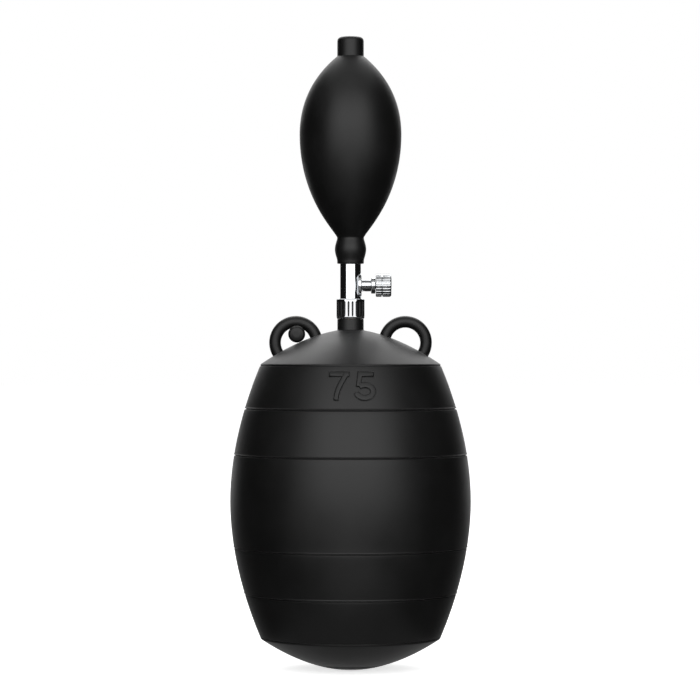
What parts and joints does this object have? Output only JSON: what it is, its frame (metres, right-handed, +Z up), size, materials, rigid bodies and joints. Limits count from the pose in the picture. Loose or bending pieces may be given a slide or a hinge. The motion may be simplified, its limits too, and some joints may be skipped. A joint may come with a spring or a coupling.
{
  "type": "inflatable pipe plug",
  "caption": "Deflated rubber pipe plug: hollow barrel bladder with lifting eyes, knurled coupling, chrome stem with a bleed screw, and a squeeze bulb with check valves.",
  "frame": {"origin": "on the plug's axis at the middle of the barrel, where the pipe holds it", "axes": "+Z up the plug's axis to the squeeze bulb, +X to the bleed screw, -Y to the front"},
  "size_m": [0.0722, 0.0722, 0.1898],
  "materials": {
    "bladder_rubber": "moulded, satin",
    "bulb_rubber": "dipped, smooth satin",
    "seal_rubber": "moulded, matt",
    "chrome": "polished plate",
    "brass": "turned",
    "steel": "ground",
    "nylon": "moulded, matt"
  },
  "bodies": {
    "plug": {"bladder": "bladder_rubber", "eye_peg": "bladder_rubber", "neck_nipple": "brass", "coupling_gasket": "seal_rubber", "valve_stem": "chrome", "outlet_cage": "brass", "outlet_seat": "brass", "outlet_screen": "steel", "bleed_tube": "chrome", "bleed_ring": "chrome", "squeeze_bulb": "bulb_rubber", "inlet_cage": "brass", "inlet_seat": "brass", "inlet_screen": "steel"},
    "slip_washer": {"nut_slip_washer": "nylon"},
    "nut": {"coupling_nut": "chrome"},
    "bleed_seal": {"bleed_o_ring": "seal_rubber"},
    "bleed_knob": {"bleed_screw": "chrome", "bleed_seal_pad": "seal_rubber"},
    "outlet_valve_ball": {"outlet_ball": "steel"},
    "inlet_valve_ball": {"inlet_ball": "steel"}
  },
  "joints": [
    {"name": "nut_rise", "type": "slide", "parent": "plug", "child": "slip_washer", "axis": [0, 0, 1], "range_m": [0, 0.000375]},
    {"name": "nut_turn", "type": "hinge", "parent": "slip_washer", "child": "nut", "pos_m": [0, 0, 0.0576], "axis": [0, 0, 1], "range_deg": [0, 270]},
    {"name": "bleed_travel", "type": "slide", "parent": "plug", "child": "bleed_seal", "axis": [1, 0, 0], "range_m": [0, 0.001]},
    {"name": "bleed_turn", "type": "hinge", "parent": "bleed_seal", "child": "bleed_knob", "pos_m": [0.0098, 0, 0.06469], "axis": [1, 0, 0], "range_deg": [0, 720]},
    {"name": "outlet_ball_lift", "type": "slide", "parent": "plug", "child": "outlet_valve_ball", "axis": [0, 0, 1], "range_m": [0, 0.0009]},
    {"name": "inlet_ball_lift", "type": "slide", "parent": "plug", "child": "inlet_valve_ball", "axis": [0, 0, 1], "range_m": [0, 0.0009]}
  ],
  "couplings": [
    {"joint": "nut_turn", "follows": "nut_rise", "rad_per_m": 12566},
    {"joint": "bleed_turn", "follows": "bleed_travel", "rad_per_m": 12566}
  ]
}
